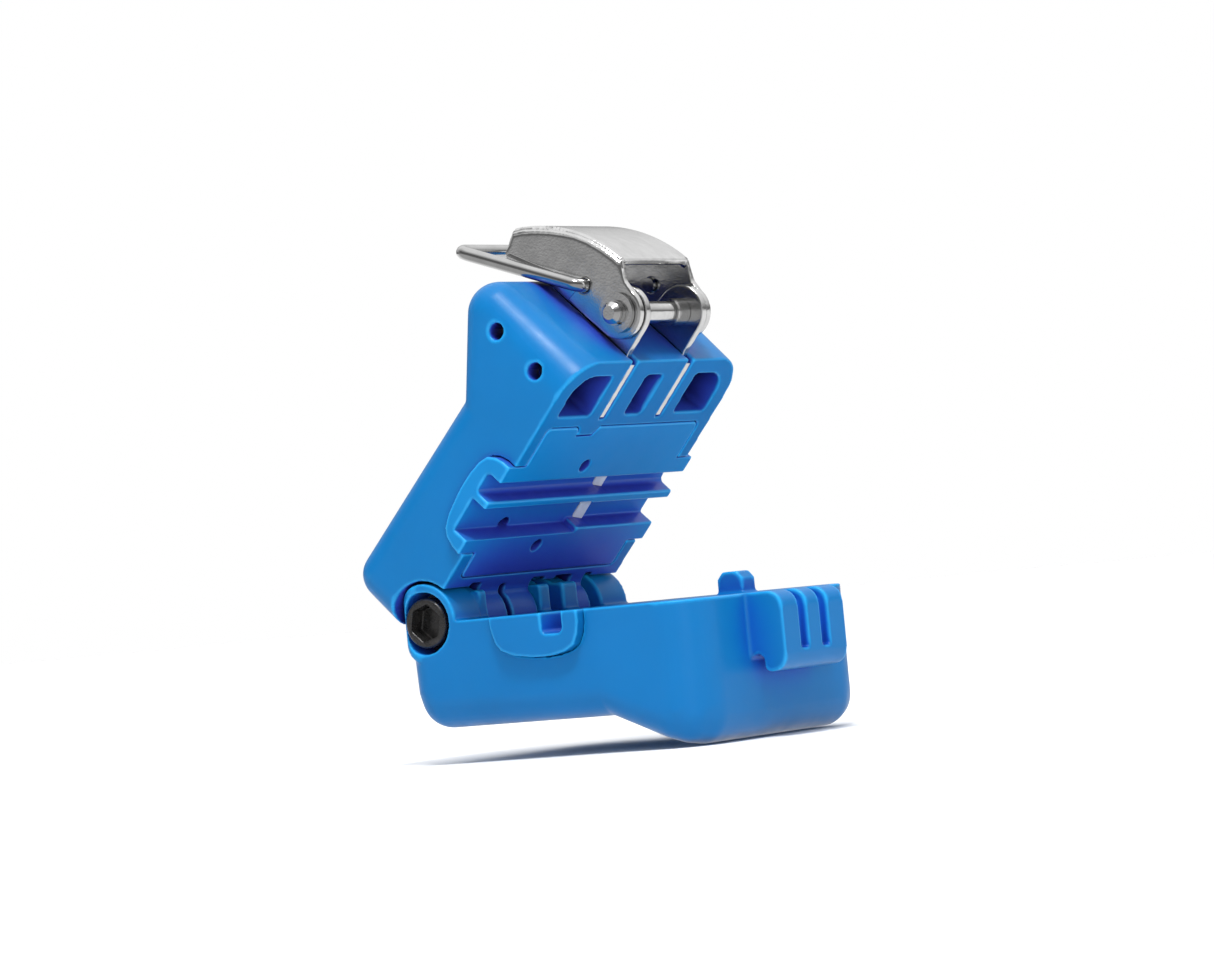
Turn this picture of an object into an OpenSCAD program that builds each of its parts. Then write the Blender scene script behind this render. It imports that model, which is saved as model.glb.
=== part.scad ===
// Hinged hand slitter for flat cable: two moulded half shells that close on the cable,
// a steel blade across each cable channel, and an over-centre wire bail latch.
// All lengths are millimetres. X runs from the hinge to the latch, Y across, Z up.
// The lower shell keeps its mating face level. The upper shell is drawn part open.

/* [Shells] */
// Half width of both shells
half_w = 28.5; // [20:0.5:40]
// Hinge axis to the latch end face
shell_len = 61.1; // [50:0.1:80]
// Hinge axis to the hinge end face
heel_len = 5.7; // [4:0.1:8]
// Depth of the lower neck, mating face to the flat underside
neck_d = 20.2; // [15:0.1:30]
// Depth of the lower head's round bottom corner, at its centre
head_d = 21.3; // [18:0.1:30]
// Depth of the upper neck at the hinge end
upper_neck_d = 19.8; // [15:0.1:30]
// Depth of the upper neck where the ramp starts
upper_ramp_d = 18.7; // [15:0.1:30]
// Depth of the upper head's round top corner, at its centre
upper_head_d = 23.2; // [18:0.1:30]
// Radius of the upper head's round top corner
upper_head_r = 6.0; // [4:0.1:8]
// Where the neck turns into the ramp of the head
neck_end = 39.5; // [30:0.5:50]
// Radius of the long outer edges and of the head corner
edge_r = 5.4; // [2:0.1:8]
// Radius of the upright corners at the latch end
latch_corner_r = 8.5; // [4:0.1:12]
// Radius of the upright corners at the hinge end
hinge_corner_r = 5.5; // [3:0.1:8]
// How far the upper shell stands open at rest
open_angle = 47.4; // [0:0.1:85]
// Gap left between the two mating faces when closed
face_gap = 0.1; // [0.05:0.05:0.5]

/* [Hinge] */
// Radius of the lower shell's hinge barrels
knuckle_r = 7.48; // [6:0.01:9]
// Radius of the upper shell's hinge knuckles
upper_knuckle_r = 6.45; // [5:0.01:7.5]
// Radius of the space cut for the other shell's knuckles
relief_r = 8.05; // [7:0.01:10]
// Radius of the space cut round the square fronted fins
fin_relief_r = 9.0; // [8:0.1:11]
// Shank diameter of the hinge screw
screw_d = 6.35; // [4:0.05:8]
// Head diameter of the hinge screw
screw_head_d = 9.5; // [7:0.1:12]
// Size across flats of the hinge screw's socket
socket_af = 6.4; // [3:0.1:7]
// Radius of the pocket for the screw head
head_pocket_r = 5.9; // [5:0.1:7]
// Plan radius of the outer corner of each end barrel
barrel_corner_r = 6.5; // [4:0.1:8]
// Radial running clearance of the upper knuckles on the screw
hinge_play = 0.05; // [0.01:0.01:0.1]

/* [Inserts] */
// Half width of the insert block between the side walls
block_half_w = 24.9; // [20:0.1:30]
// How far the end plates stand out of the side walls
flange_out = 1.9; // [0:0.1:4]
// Thickness of the insert block
block_t = 6.6; // [4:0.1:10]
// Gap round an insert in its pocket
insert_gap = 0.12; // [0.05:0.01:0.4]
// Depth of the round bottomed channel in the upper insert
chan_a_d = 3.6; // [2:0.1:6]
// Depth of the square channel in the upper insert
chan_b_d = 3.65; // [2:0.05:6]
// Depth of the channel in the lower insert
chan_lower_d = 3.95; // [2:0.05:6]
// Width of each blade across the tool
blade_w = 2.4; // [1:0.1:4]
// Near side of each blade, from the middle of the tool
blade_y = 7.0; // [0:0.1:12]
// Diameter of the blade set screws
set_screw_d = 2.7; // [1.5:0.1:4]

/* [Latch] */
// Distance of the lever pivot from the hinge axis, along the upper shell
pivot_s = 67.1; // [62:0.1:75]
// Distance of the lever pivot from the mating plane
pivot_t = 7.35; // [3:0.05:15]
// Distance of the bail holes from the hinge axis, along the upper shell
bail_s = 66.6; // [62:0.1:75]
// Distance of the bail holes from the mating plane
bail_t = 16.7; // [10:0.1:25]
// Thickness of the two bracket ears
ear_t = 1.6; // [1:0.1:3]
// Inner face of each ear, from the middle
ear_in = 8.5; // [5:0.1:12]
// Thickness of the lever sheet
lever_t = 1.5; // [0.8:0.1:3]
// Outer half width of the lever
lever_half_w = 11.9; // [9:0.1:15]
// Diameter of the pivot rivet
rivet_d = 3.2; // [2:0.1:5]
// Bail wire diameter
wire_d = 2.6; // [1:0.1:4]
// Length of the bail from its holes to the middle of its end bar
bail_len = 29.3; // [20:0.1:40]
// Lean of the folded bail toward the shell, from square to the mating plane
bail_lean = 23.1; // [0:0.1:45]
// Middle of the bail legs, from the middle of the tool
bail_leg_y = 13.55; // [12:0.05:16]

/* [Hidden] */
// Middle of the neck's underside to the hinge axis
hinge_x = -19.5;
hinge_z = neck_d;
plastic = [0.10, 0.45, 0.76];
plastic_insert = [0.12, 0.50, 0.80];
steel = [0.78, 0.79, 0.80];
black = [0.08, 0.08, 0.09];
e = 0.01;
// Knuckle and fin places across the hinge, [from, to]
low_barrels = [[-half_w, -20.2], [19.7, half_w]];
low_fins = [[-19.6, -17.2], [0, 3.3], [7.6, 12.45]];
up_knuckles = [[-16.95, -10], [-8.5, -0.25], [12.7, 17.4]];
// Spaces in the lower shell for the upper knuckles and the open gaps
low_reliefs = [[-17.2, 0], [3.3, 7.6], [12.45, 19.7]];
// Spaces in the upper shell: past the barrels, and past the fins and gaps
up_barrel_reliefs = [[-half_w - 1, -20], [19.5, half_w + 1]];
up_fin_reliefs = [[-20, -16.95], [-0.25, 3.5], [7.4, 12.7], [17.4, 19.5]];
up_gap_reliefs = [[-10, -8.5], [3.4, 7.5]];
shank_r = screw_d / 2;
rivet_r = rivet_d / 2;
wire_r = wire_d / 2;
// Middle radius of the wire's bends, at its holes and at its end bar
hole_bend = 1.6;
end_bend = 3.0;
ear_out = ear_in + ear_t;
lever_in = lever_half_w - lever_t;
ear_pins = [[54.8, 18.6], [54.0, 7.2]];
pin_r = 1.5;

// ---- placing ----

// Puts a shape drawn from the hinge axis into the part's frame
module at_hinge() {
    translate([hinge_x, 0, hinge_z]) children();
}

// The same for the upper shell and all that it carries, turned open about the hinge
module at_upper() {
    at_hinge() rotate([0, -open_angle, 0]) children();
}

// A profile drawn in the side view (x, z), given its place across the tool
module across(from, to) {
    translate([0, to, 0]) rotate([90, 0, 0]) linear_extrude(to - from) children();
}

// A round bar along Y
module bar(x, z, r, from, to, fn = 64) {
    translate([x, to, z]) rotate([90, 0, 0]) cylinder(r = r, h = to - from, $fn = fn);
}

// ---- shells ----

// Neck half of a shell: mating face at z = 0, body below it, to depth d0 at the hinge
// end and d1 where the ramp starts, with bottom corners of radius toe at the hinge end
module neck_blank(d0, d1, toe) {
    side_y = half_w - hinge_corner_r;
    foot_x = 0.75 - heel_len + toe;
    hull() {
        for (s = [-1, 1]) {
            translate([hinge_corner_r - heel_len, s * side_y, -e])
                cylinder(r = hinge_corner_r, h = e, $fn = 40);
            translate([0.5 + hinge_corner_r - heel_len, s * side_y, -d0 + toe + 1])
                cylinder(r = hinge_corner_r, h = e, $fn = 40);
            translate([foot_x, s * (half_w - toe), -d0 + toe]) sphere(r = toe, $fn = 32);
            translate([neck_end - 0.5, s * (half_w - edge_r), -d1 + edge_r])
                rotate([0, 90, 0]) cylinder(r = edge_r, h = 0.5, $fn = 40);
        }
        translate([neck_end - 0.5, -half_w, -e]) cube([0.5, 2 * half_w, e]);
    }
}

// Ramp and head of a shell, from depth d1 to a corner of radius r centred at depth
// corner_d; plan_r is the corner's radius in the plan, and the wider upright corner of
// the mating face goes down to depth upright; lean is how far the end face leans out
module head_blank(d1, corner_d, r, plan_r, upright, lean = 0) {
    cx = shell_len + lean - r;
    off = plan_r - r;
    py = half_w - plan_r;
    rise = (corner_d - d1 + edge_r) / (cx - neck_end);
    hull() {
        for (s = [-1, 1]) {
            translate([cx, s * py, -corner_d]) sphere(r = r, $fn = 32);
            translate([cx - off * 0.29, s * (py + off * 0.71), -corner_d + 0.29 * off * rise])
                sphere(r = r, $fn = 32);
            translate([cx - off, s * (half_w - r), -corner_d + off * rise])
                sphere(r = r, $fn = 32);
            translate([shell_len - latch_corner_r, s * (half_w - latch_corner_r), -upright])
                cylinder(r = latch_corner_r, h = upright, $fn = 48);
            translate([neck_end - 0.5, s * (half_w - edge_r), -d1 + edge_r])
                rotate([0, 90, 0]) cylinder(r = edge_r, h = 0.5, $fn = 40);
        }
        translate([neck_end - 0.5, -half_w, -e]) cube([0.5, 2 * half_w, e]);
    }
}

// Rectangle with round corners, drawn in the plan from (x0, y0) to (x1, y1)
module round_rect(x0, y0, x1, y1, r) {
    translate([x0 + r, y0]) square([x1 - x0 - 2 * r, y1 - y0]);
    translate([x0, y0 + r]) square([x1 - x0, y1 - y0 - 2 * r]);
    for (x = [x0 + r, x1 - r])
        for (y = [y0 + r, y1 - r])
            translate([x, y]) circle(r = r, $fn = 48);
}

// End barrel of the hinge, its outer corner rounded in the plan; side is -1 or 1
module end_barrel(from, to, side) {
    r = barrel_corner_r;
    intersection() {
        bar(0, 0, knuckle_r, from, to, 96);
        translate([0, 0, -10]) linear_extrude(20) scale([1, side]) {
            translate([r - knuckle_r, 0]) square([20, half_w]);
            translate([-knuckle_r, 0]) square([20, half_w - r]);
            translate([r - knuckle_r, half_w - r]) circle(r = r, $fn = 96);
        }
    }
}

// Cored pocket in the upper head; the latch side corner away from the middle is large
module side_pocket(side) {
    r = 5;
    translate([0, 0, -1]) linear_extrude(11) scale([1, side]) intersection() {
        round_rect(48.4, 13.8, 57.6, 24.3, 1);
        union() {
            square([57.6 - r, 40]);
            square([70, 24.3 - r]);
            translate([57.6 - r, 24.3 - r]) circle(r = r, $fn = 96);
        }
    }
}

// Outline of an insert's end plate: flat on the mating face, round below
module plate_outline(grow = 0, deep = 7) {
    k = deep / 7;
    polygon([[16.6 - grow, 0], [16.9 - grow, -2.2 * k], [17.6 - grow, -4.2 * k],
        [18.8 - grow * 0.8, -5.5 * k - grow * 0.5], [21.5, -6.4 * k - grow],
        [25.9, -6.95 * k - grow], [28.5, -7 * k - grow], [30.7, -6.9 * k - grow],
        [33.6, -6.4 * k - grow], [35.5 + grow * 0.8, -5.5 * k - grow * 0.5],
        [36.5 + grow, -3.8 * k], [36.9 + grow, -2 * k], [36.9 + grow, 0]]);
}

// Square fronted hinge fin, outline in the side view
module fin_outline() {
    circle(r = 7, $fn = 96);
    translate([0, -1]) square([7.1, 5.6]);
    translate([0, -1]) square([6.3, 6.4]);
    translate([6.3, 4.6]) circle(r = 0.8, $fn = 48);
}

// Keeper that the bail hooks under
module keeper_outline() {
    difference() {
        union() {
            polygon([[shell_len - 1, 0], [66, 0], [69, -3], [69, -11.8], [66, -14.8],
                [65.2, -14.8], [64.1, -13.7], [64.1, -12], [shell_len - 1, -12]]);
            translate([66, -3]) circle(r = 3, $fn = 64);
            translate([66, -11.8]) circle(r = 3, $fn = 64);
            translate([65.2, -13.7]) circle(r = 1.1, $fn = 48);
        }
        translate([62.55, -12.95]) circle(r = 1.55, $fn = 64);
        translate([61.0, -16]) square([3.1, 3.05]);
    }
}

module lower_shell() {
    color(plastic) at_hinge() {
        difference() {
            union() {
                neck_blank(neck_d, neck_d, 6);
                head_blank(neck_d, head_d, edge_r, latch_corner_r, head_d - 1.2);
                end_barrel(low_barrels[0][0], low_barrels[0][1], -1);
                end_barrel(low_barrels[1][0], low_barrels[1][1], 1);
                for (f = low_fins)
                    across(f[0], f[1]) fin_outline();
                across(-10.6, 10.6) keeper_outline();
                // Locating tab that enters the middle pocket of the upper shell
                translate([49.7, -2.25, -1]) cube([5.7, 4.5, 3.9]);
                across(-2.25, 2.25)
                    polygon([[49.7, 2.8], [50.9, 4.2], [54.2, 4.2], [55.4, 2.8]]);
            }
            // Room for the upper knuckles
            for (r = low_reliefs)
                bar(0, 0, relief_r, r[0], r[1], 96);
            // Screw bore, head pocket and nut pocket
            bar(0, 0, shank_r + 0.03, -half_w - 1, half_w + 1, 64);
            bar(0, 0, head_pocket_r, -half_w - 2, -21.9, 64);
            translate([0, half_w + 1, 0]) rotate([90, 0, 0])
                cylinder(r = 6.5, h = half_w + 1 - 21.6, $fn = 6);
            // Space for the insert
            translate([10.6 - insert_gap, -block_half_w - insert_gap, -block_t - insert_gap])
                cube([35.1 + 2 * insert_gap, 2 * (block_half_w + insert_gap), block_t + 1]);
            for (s = [-1, 1])
                across(s > 0 ? block_half_w - 1 : -half_w - 1, s > 0 ? half_w + 1 : 1 - block_half_w) {
                    plate_outline(insert_gap, 8.1);
                    translate([16.6 - insert_gap, -1]) square([20.3 + 2 * insert_gap, 2]);
                }
            // Two grooves down the front of the keeper
            for (s = [-1, 1])
                translate([67, s * 3.6 - 1.3, -11]) cube([3, 2.6, 12]);
            for (s = [-1, 1])
                translate([64.5, s * 3.6 - 1.3, -2.5]) cube([4, 2.6, 3]);
        }
    }
}

module upper_shell() {
    color(plastic) at_upper() {
        difference() {
            union() {
                difference() {
                    mirror([0, 0, 1]) {
                        neck_blank(upper_neck_d, upper_ramp_d, 5);
                        head_blank(upper_ramp_d, upper_head_d, upper_head_r, upper_head_r, 12, 0.35);
                    }
                    for (r = up_barrel_reliefs)
                        bar(0, 0, relief_r, r[0], r[1], 96);
                    for (r = up_fin_reliefs)
                        bar(0, 0, fin_relief_r, r[0], r[1], 96);
                    // Cored out behind the edge, between the knuckles
                    for (r = up_gap_reliefs) {
                        bar(0, 0, relief_r, r[0], r[1], 96);
                        across(r[0], r[1]) polygon([[1, 0.9], [9.6, 0.9], [9.6, 8], [1, 12]]);
                    }
                    // Working gap along the mating face
                    translate([relief_r - 1, -half_w - 1, -1])
                        cube([shell_len, 2 * half_w + 2, 1 + face_gap]);
                }
                for (k = up_knuckles) {
                    bar(0, 0, upper_knuckle_r, k[0], k[1], 96);
                    // Web that runs from the knuckle to the edge of the mating face
                    across(k[0], k[1])
                        polygon([[0, 0], [6.4, -0.3], [7.6, face_gap], [8.6, face_gap], [9, 2], [0, 2]]);
                }
            }
            bar(0, 0, shank_r + hinge_play, -half_w - 1, half_w + 1, 64);
            // Space for the insert, with its key beside the notch
            translate([0, 0, -1]) linear_extrude(block_t + 1 + insert_gap)
                upper_block_plan(insert_gap);
            for (s = [-1, 1])
                across(s > 0 ? block_half_w - 1 : -half_w - 1, s > 0 ? half_w + 1 : 1 - block_half_w) {
                    mirror([0, 1]) plate_outline(insert_gap, 7);
                    translate([16.6 - insert_gap, -1]) square([20.3 + 2 * insert_gap, 2]);
                }
            // Cored pockets in the head, with the locating tab's pocket in the middle
            side_pocket(-1);
            side_pocket(1);
            translate([0, 0, -1]) linear_extrude(11) round_rect(48.4, -2.75, 57.6, 2.75, 1);
            // Slots for the bracket ears, open to the end face
            for (s = [-1, 1])
                translate([47.5, s * (ear_in + ear_t / 2) - ear_t / 2 - 0.1, -1])
                    cube([20, ear_t + 0.2, 24.2]);
            // Cross holes for the ear pins
            for (p = ear_pins)
                bar(p[0], p[1], pin_r + 0.1, -half_w - 1, half_w + 1, 48);
        }
    }
}

// ---- inserts and blades ----

// Plan of the upper insert block: its latch side edge is notched, one notch side sloped
module upper_block_plan(grow = 0) {
    y = block_half_w + grow;
    round_rect(10.6 - grow, -y, 43.6 + grow, y, 1.3);
    round_rect(40, -y, 45.7 + grow, grow - 14.6, 1.3);
    round_rect(40, 0, 45.7 + grow, y, 1.3);
    polygon([[42, 5], [45.7 + grow, 5], [45.7 + grow, -8.2 - grow], [43.6, -9.5 - grow], [42, -9.5 - grow]]);
}

module upper_insert() {
    color(plastic_insert) at_upper() {
        difference() {
            union() {
                translate([0, 0, face_gap]) linear_extrude(block_t - face_gap) upper_block_plan();
                for (s = [-1, 1])
                    across(s > 0 ? block_half_w - 1 : -half_w - flange_out,
                        s > 0 ? half_w + flange_out : 1 - block_half_w)
                        difference() {
                            mirror([0, 1]) plate_outline(0, 7);
                            translate([0, -1]) square([60, 1 + face_gap]);
                        }
            }
            // Round bottomed channel
            across(-half_w - 5, half_w + 5) {
                translate([28.7, -1]) square([4.6, chan_a_d]);
                translate([29.7, -1]) square([2.6, chan_a_d + 1]);
                translate([29.7, chan_a_d - 1]) circle(r = 1, $fn = 32);
                translate([32.3, chan_a_d - 1]) circle(r = 1, $fn = 32);
            }
            // Square channel, narrower on the far side of its step
            translate([19.8, -half_w - 5, -1]) cube([7.4, half_w + 5 + 4.6, chan_b_d + 1]);
            translate([20.8, 0, -1]) cube([6.1, half_w + 5, chan_b_d + 1]);
            // Seats of the blades, in the channel floors
            translate([28.65, blade_y - 0.03, 1]) cube([4.7, blade_w + 0.06, 4.4]);
            translate([20.75, blade_y - 0.03, 1]) cube([6.2, blade_w + 0.06, 4.4]);
            // Set screw holes, beside the blades
            translate([36.3, -5.5, -1]) cylinder(r = set_screw_d / 2 + 0.05, h = 7, $fn = 32);
            translate([17.2, -5.85, -1]) cylinder(r = set_screw_d / 2 + 0.05, h = 7, $fn = 32);
            // Clearing hole in the floor of the square channel
            intersection() {
                translate([20.1, -15.1, chan_b_d - 1]) cylinder(r = 1.6, h = 6, $fn = 48);
                translate([19.8, -20, chan_b_d - 1]) cube([5, 10, 6]);
            }
        }
    }
}

module lower_insert() {
    color(plastic_insert) at_hinge() {
        difference() {
            union() {
                translate([10.6, -block_half_w, -block_t])
                    cube([35.1, 2 * block_half_w, block_t]);
                for (s = [-1, 1])
                    across(s > 0 ? block_half_w - 1 : -half_w - flange_out,
                        s > 0 ? half_w + flange_out : 1 - block_half_w)
                        plate_outline(0, 8.1);
            }
            across(-half_w - 5, half_w + 5) {
                translate([28.6, 1 - chan_lower_d]) square([4.6, chan_lower_d]);
                translate([29.6, -chan_lower_d]) square([2.6, chan_lower_d + 1]);
                translate([29.6, 1 - chan_lower_d]) circle(r = 1, $fn = 32);
                translate([32.2, 1 - chan_lower_d]) circle(r = 1, $fn = 32);
            }
        }
    }
}

// Blade set across a channel floor, its ground face sloping up to the cutting edge
module blade(s0, s1, floor_d) {
    translate([s0, blade_y, 0]) rotate([90, 0, 90]) linear_extrude(s1 - s0)
        polygon([[0, floor_d - 0.05], [blade_w - 0.1, floor_d - 0.75], [blade_w, floor_d - 0.6],
            [blade_w, 5.3], [0, 5.3]]);
}

module blade_round_channel() {
    color(steel) at_upper() blade(28.7, 33.3, chan_a_d);
}

module blade_square_channel() {
    color(steel) at_upper() blade(20.8, 26.9, chan_b_d);
}

// Small screw with a hexagon socket, open toward the mating face
module set_screw(s, y) {
    translate([s, y, 1.6]) difference() {
        cylinder(r = set_screw_d / 2, h = 4.2, $fn = 32);
        translate([0, 0, -e]) cylinder(r = 0.8, h = 1.4, $fn = 6);
    }
}

module set_screw_round_channel() {
    color(black) at_upper() set_screw(36.3, -5.5);
}

module set_screw_square_channel() {
    color(black) at_upper() set_screw(17.2, -5.85);
}

// ---- hinge hardware ----

module hinge_screw() {
    color(black) at_hinge() difference() {
        union() {
            bar(0, 0, shank_r, -22.8, 27.4, 64);
            bar(0, 0, screw_head_d / 2, -27.5, -22.7, 64);
            translate([0, -27.5, 0]) rotate([90, 0, 0])
                cylinder(r1 = screw_head_d / 2, r2 = screw_head_d / 2 - 0.4, h = 0.4, $fn = 64);
        }
        translate([0, -24.6, 0]) rotate([90, 0, 0]) rotate([0, 0, 18])
            cylinder(r = socket_af / 2 / cos(30), h = 4, $fn = 6);
    }
}

module hinge_washer() {
    color(black) at_hinge() difference() {
        bar(0, 0, 5.6, -22.7, -21.9, 64);
        bar(0, 0, shank_r + 0.04, -24, -20, 64);
    }
}

module hinge_nut() {
    color(black) at_hinge() difference() {
        translate([0, 27.1, 0]) rotate([90, 0, 0]) cylinder(r = 6.4, h = 5.5, $fn = 6);
        bar(0, 0, shank_r + 0.01, 20, 29, 64);
    }
}

// ---- latch bracket ----

module ear_outline() {
    difference() {
        union() {
            translate([pivot_s, pivot_t]) circle(r = 5.2, $fn = 96);
            polygon([[47.7, 0.35], [60, 0.35], [60.3, 1.9], [61.6, 2.15], [pivot_s, 2.15],
                [pivot_s + 0.4, 12.5], [64.5, 12.9], [60.6, 14.6], [60.6, 22.4], [47.7, 22.4]]);
        }
        translate([pivot_s, pivot_t]) circle(r = rivet_r + 0.03, $fn = 64);
        for (p = ear_pins)
            translate(p) circle(r = pin_r + 0.05, $fn = 48);
    }
}

module ear_near() {
    color(steel) at_upper() across(-ear_out, -ear_in) ear_outline();
}

module ear_far() {
    color(steel) at_upper() across(ear_in, ear_out) ear_outline();
}

module ear_pin(p) {
    bar(p[0], p[1], pin_r, -half_w + 4, half_w - 4, 48);
}

module ear_pin_outer() {
    color(steel) at_upper() ear_pin(ear_pins[0]);
}

module ear_pin_inner() {
    color(steel) at_upper() ear_pin(ear_pins[1]);
}

// Rivet with a button and a bevelled nose at each end
module pivot_rivet() {
    color(steel) at_upper() {
        bar(pivot_s, pivot_t, rivet_r, -14, 14, 64);
        for (s = [-1, 1]) {
            bar(pivot_s, pivot_t, 2.1, s > 0 ? 13.6 : -14.2, s > 0 ? 14.2 : -13.6, 64);
            translate([pivot_s, s * 14.2, pivot_t]) rotate([-s * 90, 0, 0])
                cylinder(r1 = 2.1, r2 = 1.3, h = 0.9, $fn = 64);
        }
    }
}

// Ring on the rivet, from one place across the tool to another
module ring(r_out, r_in, from, to) {
    difference() {
        bar(pivot_s, pivot_t, r_out, from, to, 64);
        bar(pivot_s, pivot_t, r_in, from - 1, to + 1, 64);
    }
}

module pivot_sleeve() {
    color(steel) at_upper() ring(2.1, rivet_r + 0.04, -ear_in + 0.1, 4.3);
}

module pivot_collar() {
    color(steel) at_upper() ring(2.6, rivet_r + 0.04, 4.4, ear_in - 0.1);
}

module washer_near() {
    color(steel) at_upper() ring(3.8, rivet_r + 0.04, -lever_half_w - 0.95, -lever_half_w - 0.15);
}

module washer_far() {
    color(steel) at_upper() ring(3.8, rivet_r + 0.04, lever_half_w + 0.15, lever_half_w + 0.95);
}

// Push on retaining ring with four clearance notches
module retainer(from, to) {
    difference() {
        bar(pivot_s, pivot_t, 2.4, from, to, 64);
        bar(pivot_s, pivot_t, rivet_r + 0.02, from - 1, to + 1, 64);
        for (a = [20 : 90 : 290])
            translate([pivot_s, from - 1, pivot_t]) rotate([0, a, 0])
                translate([rivet_r + 0.3, 0, -0.35]) cube([3, to - from + 2, 0.7]);
    }
}

module retainer_near() {
    color(steel) at_upper() retainer(-lever_half_w - 1.65, -lever_half_w - 1);
}

module retainer_far() {
    color(steel) at_upper() retainer(lever_half_w + 1, lever_half_w + 1.65);
}

// ---- lever and bail ----

// Side view of the lever, drawn in a distance from its outer surface
module lever_outline(inset) {
    polygon([[60, 34.3], [60.9, 35.3], [62.6, 36.4 - inset], [65.4 - inset * 0.7, 36.9 - inset],
        [67.5 - inset, 34.7 - inset * 0.6], [69.4 - inset, 32.1 - inset * 0.5],
        [71.1 - inset, 29.4 - inset * 0.4], [72.6 - inset, 26.6 - inset * 0.3],
        [73.8 - inset, 23.8], [74.7 - inset, 20.9], [75.3 - inset, 17.6],
        [75.6 - inset, 14.6], [75.6 - inset, 12.7], [72.7, 9.8], [72.1, 7.3],
        [62.1, 7.3], [62.1, 22.2]]);
    translate([pivot_s, pivot_t]) circle(r = 5, $fn = 96);
}

module latch_lever() {
    color(steel) at_upper() difference() {
        union() {
            across(-lever_half_w + 1.6, lever_half_w - 1.6) lever_outline(0);
            across(-lever_half_w + 0.7, lever_half_w - 0.7) lever_outline(0.35);
            across(-lever_half_w + 0.25, lever_half_w - 0.25) lever_outline(0.8);
            across(-lever_half_w, lever_half_w) lever_outline(1.3);
        }
        // Hollow, open toward the shell and at the front
        across(-lever_in, lever_in)
            polygon([[55, 32.2], [60.4, 33.2], [64.6, 35.3], [66.4, 33.6], [68.2, 31.2],
                [69.8, 28.6], [71.2, 25.9], [72.3, 23.3], [73.2, 20.5], [73.8, 17.4],
                [74.1, 14.6], [74.1, 0], [55, 0]]);
        across(-lever_in, lever_in) translate([70, -5]) square([10, 17.7]);
        bar(pivot_s, pivot_t, rivet_r + 0.06, -20, 20, 64);
        bar(bail_s, bail_t, wire_r + 0.08, -20, 20, 48);
    }
}

// Quarter bend of the bail wire from a cross bar into a leg
module wire_bend(r) {
    rotate([0, -90, 0]) rotate_extrude(angle = 90, $fn = 64)
        translate([r, 0]) circle(r = wire_r, $fn = 32);
}

// One leg of the bail, drawn up from its hole, with the bent ends
module bail_leg() {
    translate([0, bail_leg_y, hole_bend])
        cylinder(r = wire_r, h = bail_len - hole_bend - end_bend, $fn = 32);
    translate([0, bail_leg_y - end_bend, bail_len - end_bend]) wire_bend(end_bend);
    translate([0, bail_leg_y - hole_bend, hole_bend]) mirror([0, 0, 1]) wire_bend(hole_bend);
    bar(0, 0, wire_r, 9.3, bail_leg_y - hole_bend, 32);
}

module latch_bail() {
    color(steel) at_upper() translate([bail_s, 0, bail_t]) rotate([0, -bail_lean, 0]) {
        bar(0, bail_len, wire_r, end_bend - bail_leg_y, bail_leg_y - end_bend, 32);
        bail_leg();
        mirror([0, 1, 0]) bail_leg();
    }
}

lower_shell();
lower_insert();
hinge_screw();
hinge_washer();
hinge_nut();
upper_shell();
upper_insert();
blade_round_channel();
blade_square_channel();
set_screw_round_channel();
set_screw_square_channel();
ear_near();
ear_far();
ear_pin_outer();
ear_pin_inner();
pivot_rivet();
pivot_sleeve();
pivot_collar();
washer_near();
washer_far();
retainer_near();
retainer_far();
latch_lever();
latch_bail();
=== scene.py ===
import math

import bmesh
import bpy
import numpy as np
from mathutils import Matrix, Vector


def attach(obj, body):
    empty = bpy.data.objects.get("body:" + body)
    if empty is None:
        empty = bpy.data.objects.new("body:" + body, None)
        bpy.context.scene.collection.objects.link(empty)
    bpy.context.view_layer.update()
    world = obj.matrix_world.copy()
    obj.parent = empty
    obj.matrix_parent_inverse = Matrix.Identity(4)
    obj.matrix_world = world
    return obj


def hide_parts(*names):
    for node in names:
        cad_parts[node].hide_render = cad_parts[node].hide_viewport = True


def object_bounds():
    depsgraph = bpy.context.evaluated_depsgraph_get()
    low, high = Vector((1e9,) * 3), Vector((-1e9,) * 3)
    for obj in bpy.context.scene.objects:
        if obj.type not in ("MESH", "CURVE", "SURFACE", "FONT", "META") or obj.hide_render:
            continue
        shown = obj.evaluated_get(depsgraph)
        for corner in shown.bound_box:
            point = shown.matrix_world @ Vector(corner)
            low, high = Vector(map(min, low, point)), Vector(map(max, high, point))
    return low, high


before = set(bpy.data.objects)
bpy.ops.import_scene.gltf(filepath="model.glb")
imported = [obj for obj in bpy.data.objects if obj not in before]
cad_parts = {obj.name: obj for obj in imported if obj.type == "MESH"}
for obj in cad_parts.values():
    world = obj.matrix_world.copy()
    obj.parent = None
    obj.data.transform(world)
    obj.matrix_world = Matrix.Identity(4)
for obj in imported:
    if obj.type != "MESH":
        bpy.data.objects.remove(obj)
CAD_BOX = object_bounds()
MM = 0.001

# Hinge axis in the row frame, and the opening of the upper shell at rest
HINGE = Vector((-0.0195, 0.0, 0.0202))
OPEN = math.radians(47.4)


def upper(s, y, t):
    """Row frame point of a place on the upper shell.

    s runs along the shell, y across it and t out of it, away from its mating face (mm)."""
    x = s * math.cos(OPEN) - t * math.sin(OPEN)
    z = s * math.sin(OPEN) + t * math.cos(OPEN)
    return HINGE + Vector((x, y, z)) * MM


# ---------------------------------------------------------------- camera

AZIMUTH = math.radians(35.121)
ELEVATION = math.radians(-1.191)
ROLL = math.radians(5.569)
DISTANCE = 0.911168
PAN_RIGHT = 0.018312
PAN_UP = 0.025283
LENS = 139.54


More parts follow.
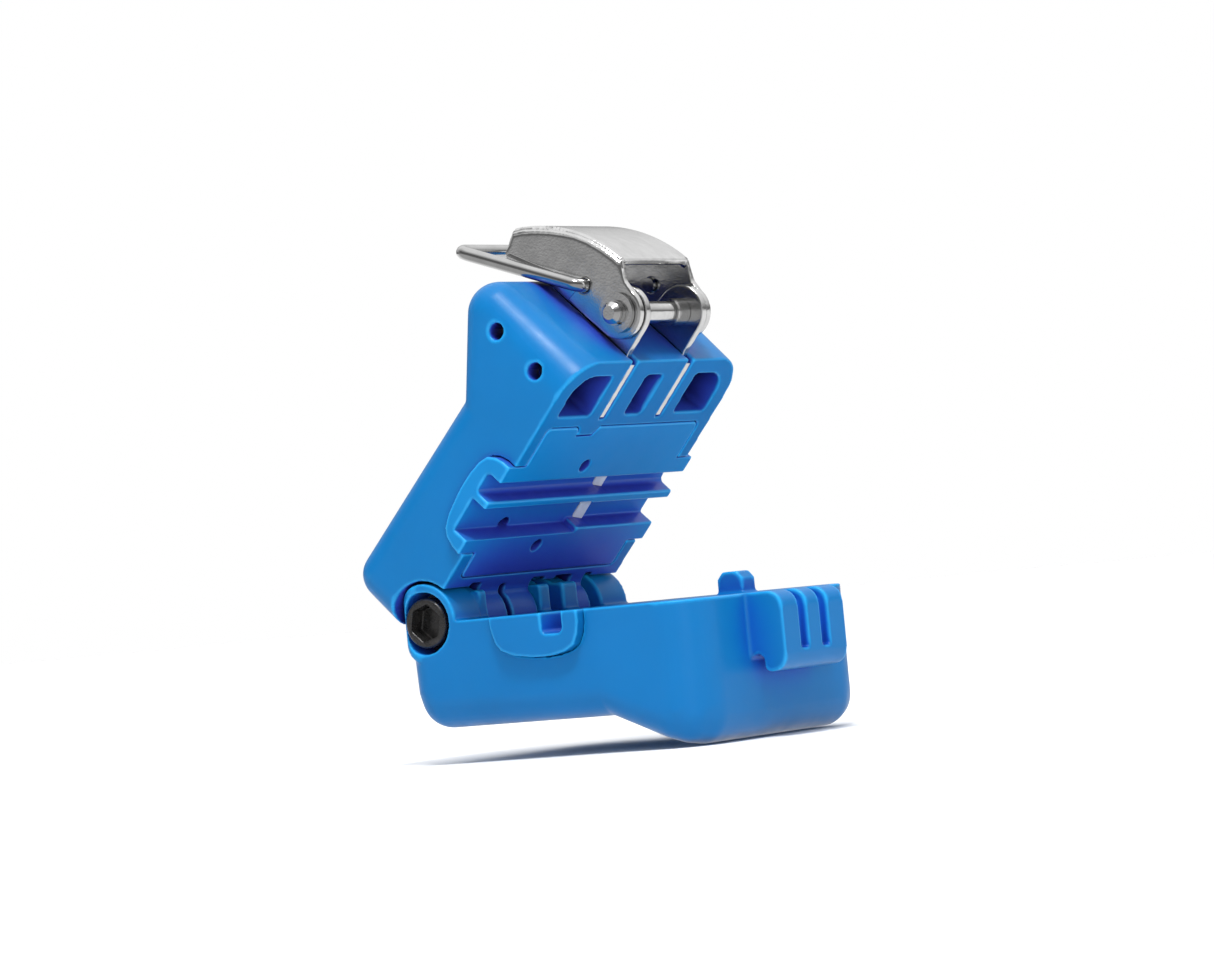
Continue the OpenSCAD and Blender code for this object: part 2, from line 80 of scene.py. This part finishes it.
def make_camera():
    back = Vector((
        math.sin(AZIMUTH) * math.cos(ELEVATION),
        -math.cos(AZIMUTH) * math.cos(ELEVATION),
        math.sin(ELEVATION),
    ))
    side = Vector((math.cos(AZIMUTH), math.sin(AZIMUTH), 0.0))
    up = back.cross(side)
    right = side * math.cos(ROLL) - up * math.sin(ROLL)
    up = side * math.sin(ROLL) + up * math.cos(ROLL)
    data = bpy.data.cameras.new("camera")
    data.lens = LENS
    data.sensor_width = 36.0
    data.clip_start = 0.01
    data.clip_end = 20.0
    cam = bpy.data.objects.new("camera", data)
    bpy.context.scene.collection.objects.link(cam)
    cam.location = HINGE + back * DISTANCE + right * PAN_RIGHT + up * PAN_UP
    turn = Matrix((right, up, back)).transposed()
    cam.rotation_mode = "QUATERNION"
    cam.rotation_quaternion = turn.to_quaternion()
    bpy.context.scene.camera = cam


# ---------------------------------------------------------------- materials

# Convexity (mm) at which the plastic's painted edge highlight starts and is full
EDGE_HIGHLIGHT_LO = 0.006
EDGE_HIGHLIGHT_HI = 0.040
# Openness (0 to 1) at which the painted shade of a shallow hollow is full and starts, then that of a
# deep hollow
HOLLOW_SHADE_LO = 0.42
HOLLOW_SHADE_HI = 0.84
DEEP_SHADE_LO = 0.10
DEEP_SHADE_HI = 0.42
# Scales of the plastic's colour clouds, flow marks and mould grain (1/m)
CLOUD_SCALE = 45.0
FLOW_SCALE = 260.0
GRAIN_SCALE = 4200.0
# Scales of the steel's uneven polish, tumbling marks and fine grain (1/m)
POLISH_SCALE = 320.0
TUMBLE_SCALE = 2200.0
FINE_SCALE = 5200.0
# Middle band of a noise texture
BAND = (0.3, 0.7)


class Nodes:
    """Small helper that adds and joins shader nodes."""

    def __init__(self, tree):
        self.tree = tree

    def add(self, kind, **values):
        node = self.tree.nodes.new(kind)
        for key, value in values.items():
            setattr(node, key, value)
        return node

    def join(self, a, b):
        self.tree.links.new(a, b)


def new_material(name):
    mat = bpy.data.materials.new(name)
    mat.use_nodes = True
    tree = mat.node_tree
    tree.nodes.clear()
    n = Nodes(tree)
    out = n.add("ShaderNodeOutputMaterial")
    bsdf = n.add("ShaderNodeBsdfPrincipled")
    n.join(bsdf.outputs["BSDF"], out.inputs["Surface"])
    coord = n.add("ShaderNodeTexCoord").outputs["Object"]
    return mat, n, bsdf, coord


def ramp(n, source, stops):
    node = n.add("ShaderNodeValToRGB")
    cr = node.color_ramp
    while len(cr.elements) < len(stops):
        cr.elements.new(0.5)
    for element, (pos, col) in zip(cr.elements, stops):
        element.position = pos
        element.color = (*col, 1.0)
    n.join(source, node.inputs["Fac"])
    return node.outputs["Color"]


def mix(n, fac, a, b):
    node = n.add("ShaderNodeMix", data_type="RGBA")
    for value, index in ((fac, 0), (a, 6), (b, 7)):
        if isinstance(value, tuple):
            node.inputs[index].default_value = (*value, 1.0)
        else:
            n.join(value, node.inputs[index])
    return node.outputs[2]


def noise(n, coord, scale, detail, rough=0.5):
    node = n.add("ShaderNodeTexNoise")
    node.inputs["Scale"].default_value = scale
    node.inputs["Detail"].default_value = detail
    node.inputs["Roughness"].default_value = rough
    n.join(coord, node.inputs["Vector"])
    return node.outputs["Fac"]


def remap(n, source, lo, hi, out_lo, out_hi):
    node = n.add("ShaderNodeMapRange")
    node.inputs["From Min"].default_value = lo
    node.inputs["From Max"].default_value = hi
    node.inputs["To Min"].default_value = out_lo
    node.inputs["To Max"].default_value = out_hi
    n.join(source, node.inputs["Value"])
    return node.outputs["Result"]


def bump(n, source, distance, strength, normal=None):
    node = n.add("ShaderNodeBump")
    node.inputs["Distance"].default_value = distance
    node.inputs["Strength"].default_value = strength
    n.join(source, node.inputs["Height"])
    if normal is not None:
        n.join(normal, node.inputs["Normal"])
    return node.outputs["Normal"]


def moulded_plastic(name, base, edge_highlight, hollow_shade, dark, hollow, alone, gloss=0.32):
    """Moulded, slightly translucent plastic, with a painted highlight along its edges and painted
    shade, bluer and darker, in its hollows.

    hollow is the reach of the hollows' shade (m); alone keeps other pieces out of it."""
    mat, n, bsdf, coord = new_material(name)
    cloud = noise(n, coord, CLOUD_SCALE, 2.0)
    body = mix(n, remap(n, cloud, *BAND, 0.0, 1.0), base, tuple(c * 1.10 for c in base))
    # Painted shade: ambient occlusion finds hollows, gaps and the places under overhangs, which are
    # then painted bluer and darker
    occlusion = n.add("ShaderNodeAmbientOcclusion", samples=8, only_local=alone)
    occlusion.inputs["Distance"].default_value = hollow
    shade = occlusion.outputs["AO"]
    body = mix(n, remap(n, shade, HOLLOW_SHADE_LO, HOLLOW_SHADE_HI, 1.0, 0.0), body, hollow_shade)
    # Painted highlight: convex edges are painted a paler cyan, standing in for light caught by the
    # translucent rims
    rim = n.add("ShaderNodeAttribute", attribute_name="rim").outputs["Fac"]
    body = mix(n, remap(n, rim, EDGE_HIGHLIGHT_LO, EDGE_HIGHLIGHT_HI, 0.0, 1.0), body, edge_highlight)
    # Painted shade of the deepest hollows and gaps, darkest of all
    body = mix(n, remap(n, shade, DEEP_SHADE_LO, DEEP_SHADE_HI, 1.0, 0.0), body, dark)
    n.join(body, bsdf.inputs["Base Color"])
    grain = noise(n, coord, GRAIN_SCALE, 2.0)
    flow = noise(n, coord, FLOW_SCALE, 2.0)
    n.join(remap(n, flow, *BAND, 0.30, 0.40), bsdf.inputs["Roughness"])
    wave = bump(n, flow, 0.0001, 0.10)
    n.join(bump(n, grain, 0.00003, 0.22, wave), bsdf.inputs["Normal"])
    bsdf.inputs["IOR"].default_value = 1.38
    bsdf.inputs["Specular IOR Level"].default_value = gloss
    bsdf.inputs["Subsurface Weight"].default_value = 0.10
    bsdf.inputs["Subsurface Radius"].default_value = (0.2, 0.8, 1.5)
    bsdf.inputs["Subsurface Scale"].default_value = 0.0010
    return mat


def stainless(name, tone, rough_lo, rough_hi, wave_strength, metal=1.0):
    """Pressed stainless steel with fine tumbling marks and a slightly uneven polish."""
    mat, n, bsdf, coord = new_material(name)
    patch = noise(n, coord, POLISH_SCALE, 4.0, 0.6)
    dark = tuple(c * 0.86 for c in tone)
    n.join(mix(n, remap(n, patch, 0.35, 0.7, 0.0, 1.0), tone, dark), bsdf.inputs["Base Color"])
    bsdf.inputs["Metallic"].default_value = metal
    fine = noise(n, coord, FINE_SCALE, 2.0)
    n.join(remap(n, patch, *BAND, rough_lo, rough_hi), bsdf.inputs["Roughness"])
    wave = bump(n, noise(n, coord, TUMBLE_SCALE, 2.0), 0.00003, wave_strength)
    n.join(bump(n, fine, 0.00002, 0.2, wave), bsdf.inputs["Normal"])
    return mat


def black_oxide(name):
    """Black oxide steel: dark, soft sheen, a little brown wear in places."""
    mat, n, bsdf, coord = new_material(name)
    patch = noise(n, coord, 500.0, 5.0, 0.65)
    body = ramp(n, patch, [
        (0.3, (0.045, 0.045, 0.046)), (0.6, (0.075, 0.073, 0.073)), (0.8, (0.14, 0.135, 0.13))])
    n.join(body, bsdf.inputs["Base Color"])
    bsdf.inputs["Metallic"].default_value = 0.8
    n.join(remap(n, patch, *BAND, 0.22, 0.34), bsdf.inputs["Roughness"])
    n.join(bump(n, noise(n, coord, 2400.0, 3.0), 0.00005, 0.35), bsdf.inputs["Normal"])
    return mat


# Looks of the blue plastics: body colour, painted edge highlight, painted shade of a shallow and of a
# deep hollow, reach of the painted shade (m)
LOWER_LOOK = (
    (0.002, 0.124, 0.345), (0.02, 0.36, 0.74), (0.006, 0.070, 0.44), (0.006, 0.012, 0.17), 0.012)
UPPER_LOOK = (
    (0.002, 0.122, 0.335), (0.02, 0.36, 0.74), (0.024, 0.050, 0.40), (0.005, 0.004, 0.06), 0.014)
INSERT_LOOK = (
    (0.003, 0.155, 0.40), (0.03, 0.38, 0.76), (0.030, 0.050, 0.42), (0.005, 0.005, 0.10), 0.022)
# Specular level of the mating faces, low enough that they keep their blue over a bright floor
FACE_GLOSS = 0.05

LOWER_BLUE = moulded_plastic("lower_blue", *LOWER_LOOK, True)
UPPER_BLUE = moulded_plastic("upper_blue", *UPPER_LOOK, False)
UPPER_FACE = moulded_plastic("upper_blue_face", *UPPER_LOOK, False, FACE_GLOSS)
INSERT_BLUE = moulded_plastic("insert_blue", *INSERT_LOOK, False)
INSERT_FACE = moulded_plastic("insert_blue_face", *INSERT_LOOK, False, FACE_GLOSS)
STEEL = stainless("stainless", (0.68, 0.68, 0.68), 0.12, 0.22, 0.7)
WIRE = stainless("wire_steel", (0.56, 0.56, 0.56), 0.08, 0.14, 0.05)
BLADE = stainless("blade_steel", (0.92, 0.92, 0.91), 0.45, 0.60, 0.05, 0.5)
BLACK = black_oxide("black_oxide")


# ---------------------------------------------------------------- pieces

def applied(obj):
    """The mesh of an object with its modifiers, as a new mesh."""
    graph = bpy.context.evaluated_depsgraph_get()
    return bpy.data.meshes.new_from_object(obj.evaluated_get(graph))


def add_rim(mesh, passes=5):
    """Point attribute "rim": how far each point stands out of its neighbours (mm), smoothed; the
    plastics paint their edge highlight by it.
    """
    count = len(mesh.vertices)
    place = np.empty(count * 3)
    mesh.vertices.foreach_get("co", place)
    place = place.reshape(-1, 3)
    normal = np.empty(count * 3, dtype=np.float32)
    mesh.vertices.foreach_get("normal", normal)
    normal = normal.reshape(-1, 3)
    ends = np.empty(len(mesh.edges) * 2, dtype=np.int32)
    mesh.edges.foreach_get("vertices", ends)
    a, b = ends.reshape(-1, 2).T
    valence = np.maximum(np.bincount(a, minlength=count) + np.bincount(b, minlength=count), 1)

    def around(values):
        total = np.bincount(a, weights=values[b], minlength=count)
        return (total + np.bincount(b, weights=values[a], minlength=count)) / valence

    middle = np.stack([around(place[:, k]) for k in range(3)], axis=1)
    rim = np.einsum("ij,ij->i", place - middle, normal) / MM
    for _ in range(passes):
        rim = 0.5 * rim + 0.5 * around(rim)
    layer = mesh.attributes.new("rim", "FLOAT", "POINT")
    layer.data.foreach_set("value", rim.astype(np.float32))


# The way the upper shell's mating face looks at rest
MATING = Vector((math.sin(OPEN), 0.0, -math.cos(OPEN)))
# Least cosine to it of a face with the duller finish
FACE_LIMIT = 0.94


def skin(node, body, material, slot_name, voxel, passes, face=None):
    """Skin of a CAD node with its edges rounded the way a moulding's or a pressing's are.

    face is the duller finish of what looks along the mating direction."""
    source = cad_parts[node]
    work = bpy.data.objects.new("work", source.data.copy())
    bpy.context.scene.collection.objects.link(work)
    remesh = work.modifiers.new("remesh", "REMESH")
    remesh.mode = "VOXEL"
    remesh.voxel_size = voxel
    smooth = work.modifiers.new("smooth", "SMOOTH")
    smooth.factor = 0.5
    smooth.iterations = passes
    mesh = applied(work)
    bpy.data.objects.remove(work)
    add_rim(mesh)
    piece = bpy.data.objects.new(node + "_skin", mesh)
    bpy.context.scene.collection.objects.link(piece)
    mesh.materials.clear()
    mesh.materials.append(material)
    for poly in mesh.polygons:
        poly.use_smooth = True
    if face is not None:
        mesh.materials.append(face)
        for poly in mesh.polygons:
            if poly.normal.dot(MATING) > FACE_LIMIT:
                poly.material_index = 1
    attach(piece, body)
    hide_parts(node)
    return piece


def dress(node, material):
    """Gives a CAD node that stays in view its finish."""
    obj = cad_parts[node]
    if not obj.material_slots:
        obj.data.materials.append(material)
    for s in obj.material_slots:
        s.material = material


# Outer curve of the lever: its centre (s, t) and radius in mm
LEVER_ARC = (42.2, 12.7)
LEVER_R = 33.4
# Angles between which it is one arc (radians)
LEVER_ANGLES = (0.015, 0.76)
# How far inside the arc the outer surface is looked for (mm)
LEVER_DEPTH = 0.4
# Half width (mm) over which the curve is trued, with the distance it fades out over
LEVER_FLAT = 11.4
LEVER_FADE = 0.8


def true_up_lever(mesh):
    """Puts the lever's outer surface on one smooth arc."""
    sin_open, cos_open = math.sin(OPEN), math.cos(OPEN)
    for vert in mesh.vertices:
        at = (vert.co - HINGE) / MM
        s = at.x * cos_open + at.z * sin_open - LEVER_ARC[0]
        t = at.z * cos_open - at.x * sin_open - LEVER_ARC[1]
        radius = math.hypot(s, t)
        angle = math.atan2(t, s)
        if radius < LEVER_R - LEVER_DEPTH or not LEVER_ANGLES[0] < angle < LEVER_ANGLES[1]:
            continue
        fade = min(max((LEVER_FLAT - abs(at.y)) / LEVER_FADE, 0.0), 1.0)
        grow = 1.0 + fade * (LEVER_R - radius) / radius
        vert.co = upper(LEVER_ARC[0] + s * grow, at.y, LEVER_ARC[1] + t * grow)


# Hem of the lever's side wall in the side view, (s, t) in mm
HEM = ((61.0, 34.5), (61.6, 34.0), (63.2, 28.5), (65.2, 22.6), (66.3, 19.4), (66.0, 18.2),
       (64.6, 17.6), (62.25, 18.0), (62.2, 22.3), (60.3, 33.9))


# Inner and outer face of each hem, off the middle (mm), and the rounding of its edges
HEM_IN = 11.7
HEM_OUT = 12.08
HEM_BEVEL = 0.07 * MM


def plate(name, outline, y0, y1, body, material):
    """Thin plate on the upper shell's side view outline, its edges rounded over."""
    bm = bmesh.new()
    low = [bm.verts.new(upper(s, y0, t)) for s, t in outline]
    high = [bm.verts.new(upper(s, y1, t)) for s, t in outline]
    bm.faces.new(low)
    bm.faces.new(list(reversed(high)))
    count = len(outline)
    for i in range(count):
        j = (i + 1) % count
        bm.faces.new((low[j], low[i], high[i], high[j]))
    bmesh.ops.recalc_face_normals(bm, faces=bm.faces)
    bmesh.ops.bevel(
        bm, geom=list(bm.edges), offset=HEM_BEVEL, segments=2, profile=0.5, affect="EDGES")
    mesh = bpy.data.meshes.new(name)
    bm.to_mesh(mesh)
    bm.free()
    mesh.materials.append(material)
    piece = bpy.data.objects.new(name, mesh)
    bpy.context.scene.collection.objects.link(piece)
    for poly in mesh.polygons:
        poly.use_smooth = True
    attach(piece, body)
    return piece


# Side of the floor, and its distance under the lower shell (m)
FLOOR_SIZE = 8.0
FLOOR_GAP = 0.0003
# What the lamps look at (m)
LAMP_AIM = Vector((0.01, 0.0, 0.04))


def floor_and_light():
    bpy.ops.mesh.primitive_plane_add(size=FLOOR_SIZE, location=(0.0, 0.0, CAD_BOX[0].z - FLOOR_GAP))
    floor = bpy.context.object
    floor.name = "floor"
    mat, n, bsdf, coord = new_material("floor")
    tone = mix(n, noise(n, coord, 3.0, 2.0), (0.83, 0.83, 0.83), (0.86, 0.86, 0.86))
    n.join(tone, bsdf.inputs["Base Color"])
    bsdf.inputs["Roughness"].default_value = 0.8
    floor.data.materials.append(mat)
    # Reflections see the lower half of the room instead, because the lit floor burns out the steel
    floor.visible_glossy = False

    world = bpy.data.worlds.new("studio")
    bpy.context.scene.world = world
    world.use_nodes = True
    tree = world.node_tree
    tree.nodes.clear()
    n = Nodes(tree)
    out = n.add("ShaderNodeOutputWorld")
    split = n.add("ShaderNodeSeparateXYZ")
    n.join(n.add("ShaderNodeTexCoord").outputs["Generated"], split.inputs["Vector"])
    front = ramp(n, split.outputs["Z"], [
        (0.0, (0.52, 0.52, 0.52)), (0.05, (0.44, 0.44, 0.44)), (0.15, (0.20, 0.20, 0.20)),
        (0.5, (0.12, 0.12, 0.12)), (0.7, (0.5, 0.5, 0.5)), (0.9, (1.1, 1.1, 1.1))])
    behind = ramp(n, split.outputs["Z"], [
        (0.0, (1.05, 1.05, 1.05)), (0.03, (0.10, 0.10, 0.10)), (0.10, (0.13, 0.13, 0.13)),
        (0.26, (0.60, 0.60, 0.60)), (0.6, (1.05, 1.05, 1.05)), (1.0, (1.15, 1.15, 1.15))])
    height = mix(n, remap(n, split.outputs["Y"], -0.25, 0.35, 0.0, 1.0), front, behind)
    room = n.add("ShaderNodeBackground")
    n.join(height, room.inputs["Color"])
    plain = n.add("ShaderNodeBackground")
    plain.inputs["Color"].default_value = (1.0, 1.0, 1.0, 1.0)
    both = n.add("ShaderNodeMixShader")
    n.join(n.add("ShaderNodeLightPath").outputs["Is Camera Ray"], both.inputs[0])
    n.join(room.outputs["Background"], both.inputs[1])
    n.join(plain.outputs["Background"], both.inputs[2])
    n.join(both.outputs["Shader"], out.inputs["Surface"])

    def area(name, place, size, power):
        data = bpy.data.lights.new(name, "AREA")
        data.shape = "RECTANGLE"
        data.size, data.size_y = size
        data.energy = power
        lamp = bpy.data.objects.new(name, data)
        bpy.context.scene.collection.objects.link(lamp)
        lamp.location = place
        aim = LAMP_AIM - Vector(place)
        lamp.rotation_mode = "QUATERNION"
        lamp.rotation_quaternion = aim.to_track_quat("-Z", "Y")
        return lamp

    area("top", (0.23, -0.35, 0.86), (0.24, 0.14), 6.0)
    area("back", (-0.03, 0.75, 0.58), (0.34, 0.12), 1.2).visible_glossy = False
    area("front", (-0.45, -0.85, 0.40), (0.5, 0.7), 1.4).visible_glossy = False
    area("right", (0.95, 0.05, 0.40), (0.12, 0.5), 0.25)
    area("fill", (0.66, -0.60, 0.12), (0.3, 0.3), 2.6).visible_glossy = False
    data = bpy.data.lights.new("sky", "SUN")
    data.energy = 1.5
    data.angle = math.radians(50.0)
    sky = bpy.data.objects.new("sky", data)
    bpy.context.scene.collection.objects.link(sky)
    sky.rotation_euler = (math.radians(8.0), math.radians(-6.0), 0.0)
    sky.visible_glossy = False


# Voxel (m) and smoothing passes of each kind of skin
SHELL_SKIN = (0.30 * MM, 7)
INSERT_SKIN = (0.24 * MM, 4)
LEVER_SKIN = (0.20 * MM, 5)
EAR_SKIN = (0.16 * MM, 2)
SCREW_SKIN = (0.16 * MM, 3)


def main():
    make_camera()
    skin("lower_shell", "lower", LOWER_BLUE, "blue_plastic", *SHELL_SKIN)
    skin("upper_shell", "upper", UPPER_BLUE, "blue_plastic", *SHELL_SKIN, UPPER_FACE)
    skin("lower_insert", "lower", LOWER_BLUE, "insert_plastic", *INSERT_SKIN)
    skin("upper_insert", "upper", INSERT_BLUE, "insert_plastic", *INSERT_SKIN, INSERT_FACE)
    lever = skin("latch_lever", "lever", STEEL, "stainless", *LEVER_SKIN)
    true_up_lever(lever.data)
    plate("lever_hem_near", HEM, -HEM_OUT, -HEM_IN, "lever", STEEL)
    plate("lever_hem_far", HEM, HEM_IN, HEM_OUT, "lever", STEEL)
    skin("ear_near", "upper", STEEL, "stainless", *EAR_SKIN)
    skin("ear_far", "upper", STEEL, "stainless", *EAR_SKIN)
    skin("hinge_screw", "lower", BLACK, "black_steel", *SCREW_SKIN)
    for node in ("ear_pin_outer", "ear_pin_inner", "pivot_rivet", "pivot_sleeve", "pivot_collar",
                 "washer_near", "washer_far", "retainer_near", "retainer_far"):
        dress(node, STEEL)
    dress("latch_bail", WIRE)
    for node in ("blade_round_channel", "blade_square_channel"):
        dress(node, BLADE)
    for node in ("hinge_washer", "hinge_nut", "set_screw_round_channel", "set_screw_square_channel"):
        dress(node, BLACK)
    floor_and_light()
    bpy.context.scene.view_settings.view_transform = "Standard"


main()
